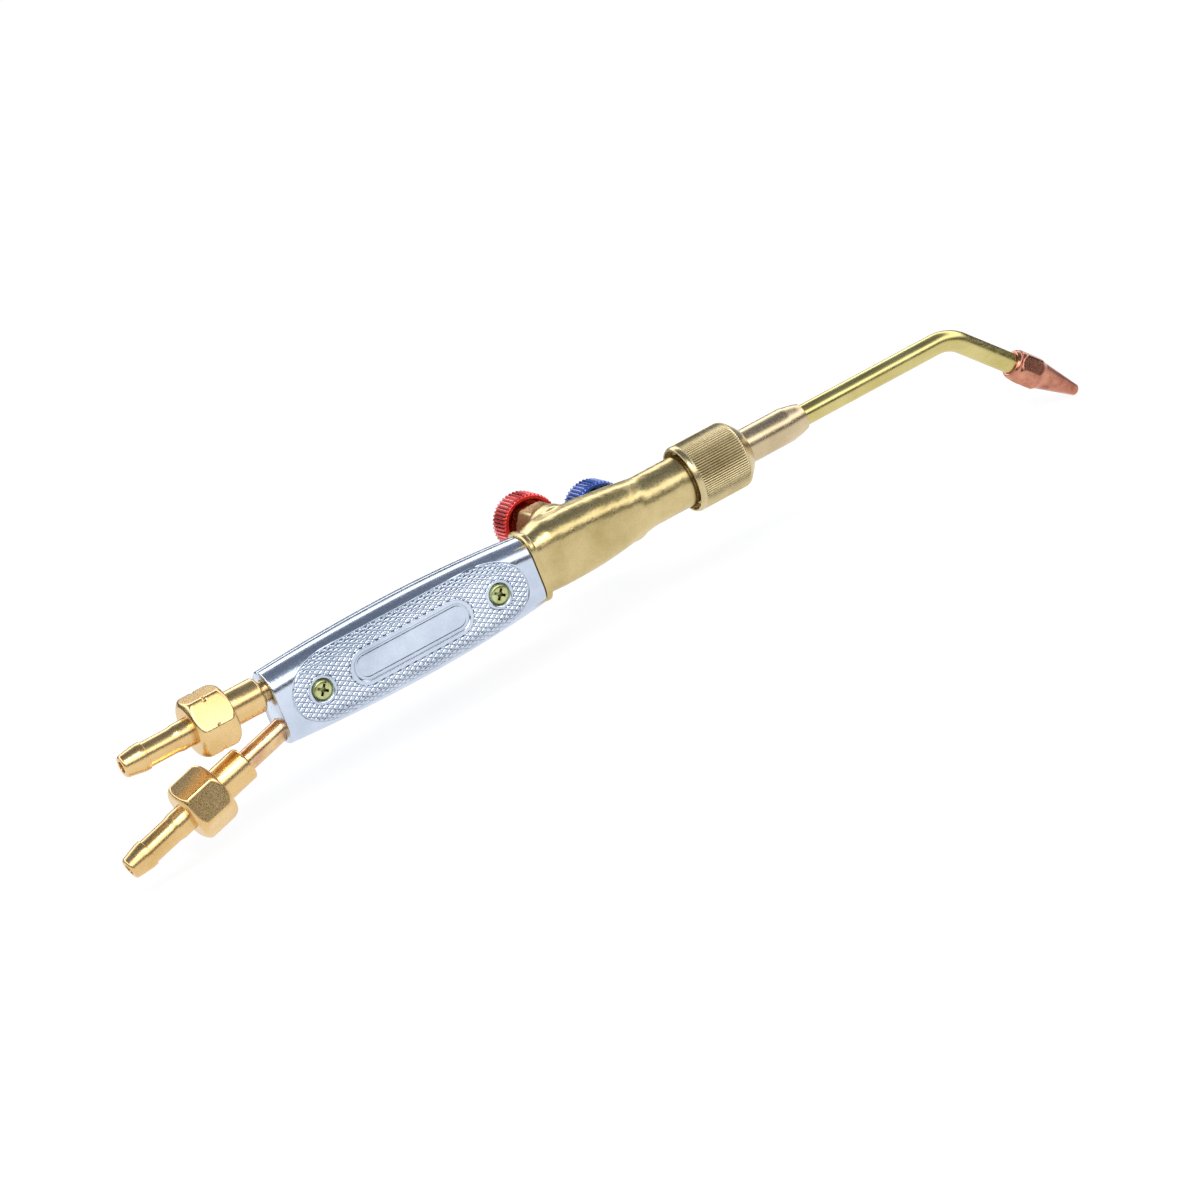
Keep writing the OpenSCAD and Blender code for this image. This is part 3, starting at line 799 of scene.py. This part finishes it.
turned("knurled_union_nut", MAIN, [
    (NUT_X0, 11.6, 0.25), (NUT_X0, NUT_R - 0.5, 0.3), (NUT_X0 + 1.0, NUT_R, 0.5),
    (NUT_X0 + 2.2, NUT_R, 0.1), (NUT_X1 - 4.6, NUT_R, 1.2), (NUT_X1 - 1.4, NUT_R - 3.2, 1.0),
    (NUT_X1, NUT_R - 5.0, 0.5), (NUT_X1, STEM_R + 0.05, 0.2), (NUT_X1 - 6.0, STEM_R + 0.05, 0),
    (NUT_X1 - 6.0, 9.65, 0), (NUT_X0 + 4.0, 9.65, 0), (NUT_X0 + 3.6, 11.35, 0.2),
], "coupling_nut", NUT_BRASS, ["union_nut"], segments=NUT_TEETH * 8, shape=nut_knurl, step=0.6)


# ---------------------------------------------------------------- knobs

KNOB_Y0, KNOB_Y1 = span("fuel_knob", 1)
KNOB_R = (span("fuel_knob")[1] - span("fuel_knob")[0]) / 2 - 0.03   # inside the CAD's facets
SERRATIONS, SERRATION_DEPTH = 46, 0.85


def knob_serration(x, r, angle):
    """Coarse V serrations over the knob's rim, with rounded crests."""
    if r < KNOB_R - 1.3:
        return r
    phase = angle * SERRATIONS / (2 * math.pi)
    wave = abs(2 * (phase - math.floor(phase)) - 1)
    depth = SERRATION_DEPTH * smooth_step(KNOB_Y0 + 0.2, KNOB_Y0 + 0.9, x)
    depth *= 1 - smooth_step(KNOB_Y1 - 0.9, KNOB_Y1 - 0.2, x)
    return r - depth * smooth_step(0.15, 0.95, 1 - wave)


def knob(name, matrix, body, material, node):
    """Cup-shaped knob: open towards the valve, with a hub and a recess for its screw."""
    turned(name, matrix, [
        (KNOB_Y0, KNOB_R - 2.0, 0.3), (KNOB_Y0, KNOB_R - 1.0, 0.3),
        (KNOB_Y0 + 0.7, KNOB_R, 0.3), (KNOB_Y1 - 0.9, KNOB_R, 0.5),
        (KNOB_Y1, KNOB_R - 1.2, 0.5), (KNOB_Y1, 4.9, 0.4), (KNOB_Y1 - 1.0, 4.5, 0.2),
        (KNOB_Y1 - 1.0, 1.6, 0), (KNOB_Y1 - 3.4, 1.6, 0), (KNOB_Y1 - 3.4, 2.64, 0),
        (KNOB_Y0 + 5.4, 2.64, 0.1), (KNOB_Y0 + 5.4, KNOB_R - 2.3, 0.5),
    ], body, material, [node], segments=SERRATIONS * 8, shape=knob_serration, step=0.7)


knob("red_fuel_knob", FUEL_VALVE, "fuel_stem", RED, "fuel_knob")
knob("blue_oxygen_knob", OXYGEN_VALVE, "oxygen_stem", BLUE, "oxygen_knob")


# ---------------------------------------------------------------- gland nuts

GLAND_Y1 = span("fuel_gland_nut", 1)[1]
GLAND_AF = 13


def gland(name, matrix, node):
    """Hexagonal gland nut with a threaded shank in the boss."""
    def flats(x, r, angle):
        if x < BOSS_Y + 0.05 or r < 5:
            return r
        return soft_min(r, hexagon_radius(GLAND_AF, angle, 30), 0.3)

    turned(name, matrix, [
        (BOSS_Y - 5.38, 3.05, 0), (BOSS_Y - 5.38, 4.98, 0.2), (BOSS_Y + 0.02, 4.98, 0),
        (BOSS_Y + 0.06, 7.4, 0.2), (GLAND_Y1 - 0.8, 7.4, 0.2), (GLAND_Y1, 6.2, 0.2),
        (GLAND_Y1, 4.4, 0.1), (GLAND_Y1 - 3.6, 4.4, 0), (GLAND_Y1 - 3.6, 3.05, 0),
    ], "handset", FITTING_BRASS, [node], segments=120, shape=flats, step=0.6)


gland("fuel_gland", FUEL_VALVE, "fuel_gland_nut")
gland("oxygen_gland", OXYGEN_VALVE, "oxygen_gland_nut")


# ---------------------------------------------------------------- hose fittings

ADAPTER_R = 6.5
ADAPTER_LEN = 12.6
THREAD_LEN = 8.0
HOSE_NUT_LEN = 15.6
HOSE_NUT_AF = 20.6
NOTCH_DEGREES, NOTCH_DEPTH = 7, 0.5    # half width round a corner, and depth
NUT_BACK = -ADAPTER_LEN - HOSE_NUT_LEN
NUT_FRONT = -ADAPTER_LEN - 0.2     # a little clear of the adapter
BARB_R = MOUNTS["fuel_hose_barb"]["dims"]["r_mm"]


def adapter(name, matrix, node):
    """Turned inlet with its thread hidden in the hose nut."""
    back = -ADAPTER_LEN - THREAD_LEN
    turned(name, matrix, [
        (0, SOCKET_R, 0.1), (0, ADAPTER_R - 0.7, 0.2), (-0.8, ADAPTER_R, 0.3),
        (-ADAPTER_LEN, ADAPTER_R, 0.2), (-ADAPTER_LEN, 6.0, 0), (back, 6.0, 0.3),
        (back, 4.6, 0), (back + 3.0, 2.4, 0), (-5, 2.4, 0), (-5, SOCKET_R, 0),
    ], "handset", FITTING_BRASS, [node])


def nipple(name, matrix, body, node):
    """Hose nipple: coned head in the nut, collar, plain stem and one ridged barb."""
    seat = -ADAPTER_LEN - THREAD_LEN
    turned(name, matrix, [
        (seat + 1.8, 2.2, 0), (seat + 1.8, 2.9, 0.1), (seat - 0.2, 4.2, 0), (seat - 0.2, 5.6, 0.1),
        (seat - 2.4, 5.6, 0.1), (seat - 2.4, 5.1, 0), (NUT_BACK - 5.0, 5.1, 0.4),
        (NUT_BACK - 6.6, 4.7, 0.8), (NUT_BACK - 17.9, 4.7, 0.1), (NUT_BACK - 18.0, BARB_R, 0.15),
        (NUT_BACK - 20.0, BARB_R, 0.3), (NUT_BACK - 26.4, 4.15, 0.4), (NUT_BACK - 27.0, 3.5, 0.3),
        (NUT_BACK - 27.0, 2.2, 0.15),
    ], body, FITTING_BRASS, [node])


def hose_nut(name, matrix, body, node, turn, notched):
    """Hexagonal nut with rounded ends; notches on its corners mark a left-hand thread."""
    middle = (NUT_BACK + NUT_FRONT) / 2

    def flats(x, r, angle):
        if r < 7.5:
            return r
        radius = soft_min(r, hexagon_radius(HOSE_NUT_AF, angle, turn, 0.5), 0.5)
        past = (math.degrees(angle) - turn) % 60
        corner = min(past, 60 - past)          # degrees from the nearest corner
        if notched and corner < NOTCH_DEGREES:
            radius -= (NOTCH_DEPTH * hollow(x, middle, 0.4)
                       * smooth_step(NOTCH_DEGREES, 4, corner))
        return radius

    turned(name, matrix, [
        (NUT_BACK, 5.15, 0.1), (NUT_BACK, 9.0, 0.5), (NUT_BACK + 1.2, 10.9, 0.8),
        (NUT_BACK + 2.6, 11.8, 0.6), (NUT_FRONT - 2.4, 11.8, 0.6), (NUT_FRONT - 0.7, 10.6, 0.6),
        (NUT_FRONT, 9.4, 0.4), (NUT_FRONT, 6.05, 0.1), (NUT_BACK + 5.0, 6.05, 0),
        (NUT_BACK + 5.0, 5.15, 0),
    ], body, FITTING_BRASS, [node], segments=240, shape=flats, step=0.45)


adapter("fuel_inlet", FUEL_FITTING, "fuel_adapter")
adapter("oxygen_inlet", OXYGEN_FITTING, "oxygen_adapter")
nipple("fuel_barb", FUEL_FITTING, "fuel_nipple", "fuel_hose_nipple")
nipple("oxygen_barb", OXYGEN_FITTING, "oxygen_nipple", "oxygen_hose_nipple")
hose_nut("fuel_hex_nut", FUEL_FITTING, "fuel_nut", "fuel_hose_nut", 30, True)
hose_nut("oxygen_hex_nut", OXYGEN_FITTING, "oxygen_nut", "oxygen_hose_nut", 12, False)


# ---------------------------------------------------------------- tubes and mixer stem

def pipe(name, path, outer, bore, body, material, node):
    """A pipe swept along a path in the plane y = 0, closed round both its ends."""
    segments, end_bevel = 64, 0.2
    verts, faces = [], []
    for i, (x, z) in enumerate(path):
        before, after = path[max(i - 1, 0)], path[min(i + 1, len(path) - 1)]
        along = Vector((after[0] - before[0], 0, after[1] - before[1])).normalized()
        across = Vector((0, 1, 0)).cross(along)
        at_end = i in (0, len(path) - 1)
        for radius in (outer - (end_bevel if at_end else 0), bore):
            for j in range(segments):
                angle = 2 * math.pi * j / segments
                verts.append((x + across.x * radius * math.cos(angle),
                              radius * math.sin(angle),
                              z + across.z * radius * math.cos(angle)))
    ring = 2 * segments
    for i in range(len(path) - 1):
        for side in (0, segments):
            for j in range(segments):
                a, b = i * ring + side + j, i * ring + side + (j + 1) % segments
                faces.append((a, b, b + ring, a + ring))
    for start in (0, (len(path) - 1) * ring):
        for j in range(segments):
            a, b = start + j, start + (j + 1) % segments
            faces.append((a, b, b + segments, a + segments))
    dress(finish_mesh((verts, faces), name, MAIN, 50), body, material, [node])


def straight(start, end, step=2.0):
    """Points from start to just short of end, with a close pair at the start for its edge."""
    length = math.dist(start, end)
    count = max(2, math.ceil(length / step))
    edge = 0.2
    shares = [0, edge / length] + [k / count for k in range(1, count)]
    return [(start[0] + (end[0] - start[0]) * t, start[1] + (end[1] - start[1]) * t)
            for t in shares]


BEND_R = 15.0
SOCKET_DEPTH = 5.0
END_GAP = 0.05                     # between a tip tube's end and its socket's bottom
flame_angle = math.atan2(-flame_axis.z, flame_axis.x)
TUBE_X0 = span("tip_tube")[0]


def tip_path():
    """The tip tube's centre line: straight, bent down, straight into the nozzle."""
    down = nozzle_rear.z + BEND_R * (1 - math.cos(flame_angle))
    past = -down / math.sin(flame_angle)
    bend_x = nozzle_rear.x - past * math.cos(flame_angle) - BEND_R * math.sin(flame_angle)
    path = straight((TUBE_X0, 0), (bend_x, 0))
    for k in range(25):
        angle = flame_angle * k / 24
        path.append((bend_x + BEND_R * math.sin(angle), -BEND_R * (1 - math.cos(angle))))
    end = nozzle_rear + flame_axis * (SOCKET_DEPTH - END_GAP)
    back = straight((end.x, end.z), path[-1])
    return path + back[::-1]


TIP_TUBE_R = 3.97
pipe("brass_tip_tube", tip_path(), TIP_TUBE_R, TIP_BORE_R, "tip", TUBE_BRASS, "tip_tube")

STEM_FLANGE_X = NUT_X1 - 7.3
turned("brass_mixer_stem", MAIN, [
    (112.6, 3.02, 0), (112.6, 4.6, 0.2), (113.0, 5.0, 0.1), (114.66, 5.0, 0), (114.7, 4.28, 0),
    (116.1, 4.28, 0), (116.14, 5.0, 0), (124.0, 5.0, 0.1), (124.6, 6.35, 0.2), (127.26, 6.35, 0),
    (127.3, 5.6, 0), (128.7, 5.6, 0), (128.74, 6.35, 0), (133.2, 6.35, 0), (133.2, 9.0, 0.2),
    (133.5, 9.2, 0), (STEM_FLANGE_X, 9.2, 0.3), (STEM_FLANGE_X, STEM_R, 0.1),
    (166.2, STEM_R, 0.8), (171.0, 5.6, 0.6), (173.2, 5.0, 0.3), (173.4, 4.7, 0.1),
    (173.4, SOCKET_R, 0), (168, SOCKET_R, 0), (168, TIP_BORE_R, 0), (150, 2.0, 0),
    (122, 2.0, 0), (122, 3.02, 0),
], "tip", STEM_BRASS, ["mixer_stem"])

FUEL_LINE = frame_along((0, 0, fuel_land.z), (1, 0, 0))
FUEL_X0, FUEL_X1 = span("fuel_tube")
GROOVE_R = 3.7                     # bottom of the two grooves beside the fuel adapter
turned("fuel_line", FUEL_LINE, [
    (FUEL_X0, GAS_BORE_R, 0), (FUEL_X0, 3.9, 0.1),
    (-55.4, LINE_R, 0), (-55.3, GROOVE_R, 0), (-54.9, GROOVE_R, 0), (-54.8, LINE_R, 0),
    (-54.4, LINE_R, 0), (-54.3, GROOVE_R, 0), (-53.9, GROOVE_R, 0), (-53.8, LINE_R, 0),
    (FUEL_X1, LINE_R, 0), (FUEL_X1, GAS_BORE_R, 0),
], "handset", FITTING_BRASS, ["fuel_tube"])


def oxygen_path():
    """The oxygen line's centre line: straight through the grip, then eased down to its fitting."""
    back = -oxygen_forward
    front_x, line_z = span("oxygen_tube")[1], line_height("oxygen_tube")
    inlet = oxygen_land + oxygen_forward * LAND_BACK
    corner_x = inlet.x + (line_z - inlet.z) / math.tan(math.atan2(-back.z, -back.x))
    ease = 3.0
    path = straight((front_x, line_z), (corner_x + ease, line_z))
    for k in range(9):
        t = k / 8
        near, far = (1 - t) ** 2, t ** 2
        path.append((corner_x + ease * near + back.x * ease * far,
                     line_z + back.z * ease * far))
    end = inlet + back * (SOCKET_DEPTH - 0.1)
    return path + straight((end.x, end.z), path[-1])[::-1]


pipe("oxygen_line", oxygen_path(), LINE_R, GAS_BORE_R, "handset", STAINED_BRASS, "oxygen_tube")


# ---------------------------------------------------------------- nozzle

NOZZLE_AF = 11.6                   # across the flats of its barrel
ORIFICE_R = 0.6


def nozzle_flats(x, r, angle):
    """Six flats milled on the barrel."""
    if r < 4.5 or x < 0.9 or x > 13.2:
        return r
    flat = hexagon_radius(NOZZLE_AF, angle, 18, 0.3)
    return soft_min(r, max(flat, 5.0), 0.25) if flat < r + 0.25 else r


turned("copper_nozzle", NOZZLE, [
    (0, SOCKET_R, 0.1), (0, 4.9, 0.3), (1.1, 5.65, 0.4), (1.9, 5.65, 0.1), (3.4, 6.6, 0.6),
    (10.4, 6.6, 0.6), (13.0, 5.25, 0.3), (NOZZLE_LEN - 0.5, 2.1, 0.3), (NOZZLE_LEN, 1.6, 0.2),
    (NOZZLE_LEN, ORIFICE_R, 0.1), (NOZZLE_LEN - ORIFICE_LEN, ORIFICE_R, 0), (13, TIP_BORE_R, 0),
    (SOCKET_DEPTH, TIP_BORE_R, 0), (SOCKET_DEPTH, SOCKET_R, 0),
], "tip", COPPER, ["nozzle"], segments=144, shape=nozzle_flats, step=0.45)


# ---------------------------------------------------------------- stage, light and camera

def make_floor():
    """Plain pale floor, just under the torch, that glows enough to read as white."""
    size = 7.0
    mesh = bpy.data.meshes.new("floor")
    z = CAD_BOUNDS[0][2] - 0.0005
    corners = [(-size, -size, z), (size, -size, z), (size, size, z), (-size, size, z)]
    mesh.from_pydata(corners, [], [(0, 1, 2, 3)])
    floor = bpy.data.objects.new("floor", mesh)
    bpy.context.scene.collection.objects.link(floor)
    material, *_, shader = node_material("floor")
    shader.inputs["Base Color"].default_value = (0.3, 0.3, 0.3, 1)
    shader.inputs["Roughness"].default_value = 1.0
    shader.inputs["Specular IOR Level"].default_value = 0.0
    shader.inputs["Emission Color"].default_value = (1, 1, 1, 1)
    shader.inputs["Emission Strength"].default_value = 0.72
    mesh.materials.append(material)


def area_light(name, place, target, size, power):
    """A rectangular lamp at place, turned to its target."""
    data = bpy.data.lights.new(name, "AREA")
    data.shape = "RECTANGLE"
    data.size, data.size_y = size
    data.energy = power
    light = bpy.data.objects.new(name, data)
    light.location = place
    direction = Vector(target) - Vector(place)
    light.rotation_euler = direction.to_track_quat("-Z", "Y").to_euler()
    bpy.context.scene.collection.objects.link(light)


def make_light():
    """Studio sky, bright low down and dark above and below that, and two soft lamps."""
    centre = (0.08, 0, 0)
    area_light("key", (-0.25, -0.75, 0.95), centre, (0.7, 0.25), 5)
    area_light("back", (0.4, 0.9, 0.7), centre, (0.9, 0.5), 1)
    world = bpy.data.worlds.new("studio")
    world.use_nodes = True
    nodes, links = world.node_tree.nodes, world.node_tree.links
    coords = nodes.new("ShaderNodeTexCoord")
    split = nodes.new("ShaderNodeSeparateXYZ")
    links.new(coords.outputs["Generated"], split.inputs[0])
    sky = ramp(nodes, links, split.outputs["Z"], [
        (0.0, (0.01, 0.01, 0.01)), (0.32, (0.02, 0.02, 0.025)), (0.42, (0.97, 0.98, 1.0)),
        (0.62, (1.0, 1.0, 1.0)), (0.74, (0.07, 0.08, 0.10)),
    ])
    links.new(sky, nodes["Background"].inputs["Color"])
    nodes["Background"].inputs["Strength"].default_value = 2.6
    bpy.context.scene.world = world
    bpy.context.scene.view_settings.view_transform = "Standard"


AZIMUTH, ELEVATION = math.radians(-21.0), math.radians(17.7)
AXIS_SLOPE = math.radians(28.6)      # how steeply the main axis rises in the picture
DISTANCE = 1.772
FOCAL_WIDTHS = 5000 / 1200           # focal length in widths of the picture
SENSOR = 36
LOOK_X = 0.0715                      # place on the main axis opposite the picture's middle
AXIS_ABOVE = 0.0234                  # how far the axis passes from the picture's middle


def make_camera():
    """The photo's camera: a long lens, rolled so that the torch lies across the picture."""
    right = Vector((math.cos(AZIMUTH), math.sin(AZIMUTH), 0))
    back = Vector((math.sin(AZIMUTH) * math.cos(ELEVATION),
                   -math.cos(AZIMUTH) * math.cos(ELEVATION), math.sin(ELEVATION)))
    up = back.cross(right)
    level = math.atan2(up.x, right.x)
    along = right * math.cos(level) + up * math.sin(level)
    across = up * math.cos(level) - right * math.sin(level)
    place = Vector((LOOK_X, 0, 0)) + back * DISTANCE - across * AXIS_ABOVE
    cam_right = along * math.cos(AXIS_SLOPE) - across * math.sin(AXIS_SLOPE)
    cam_up = across * math.cos(AXIS_SLOPE) + along * math.sin(AXIS_SLOPE)
    data = bpy.data.cameras.new("camera")
    data.sensor_width = SENSOR
    data.lens = SENSOR * FOCAL_WIDTHS
    data.clip_start, data.clip_end = 0.05, 30
    camera = bpy.data.objects.new("camera", data)
    camera.matrix_world = Matrix.Translation(place) @ \
        Matrix((cam_right, cam_up, back)).transposed().to_4x4()
    bpy.context.scene.collection.objects.link(camera)
    bpy.context.scene.camera = camera


make_floor()
make_light()
make_camera()
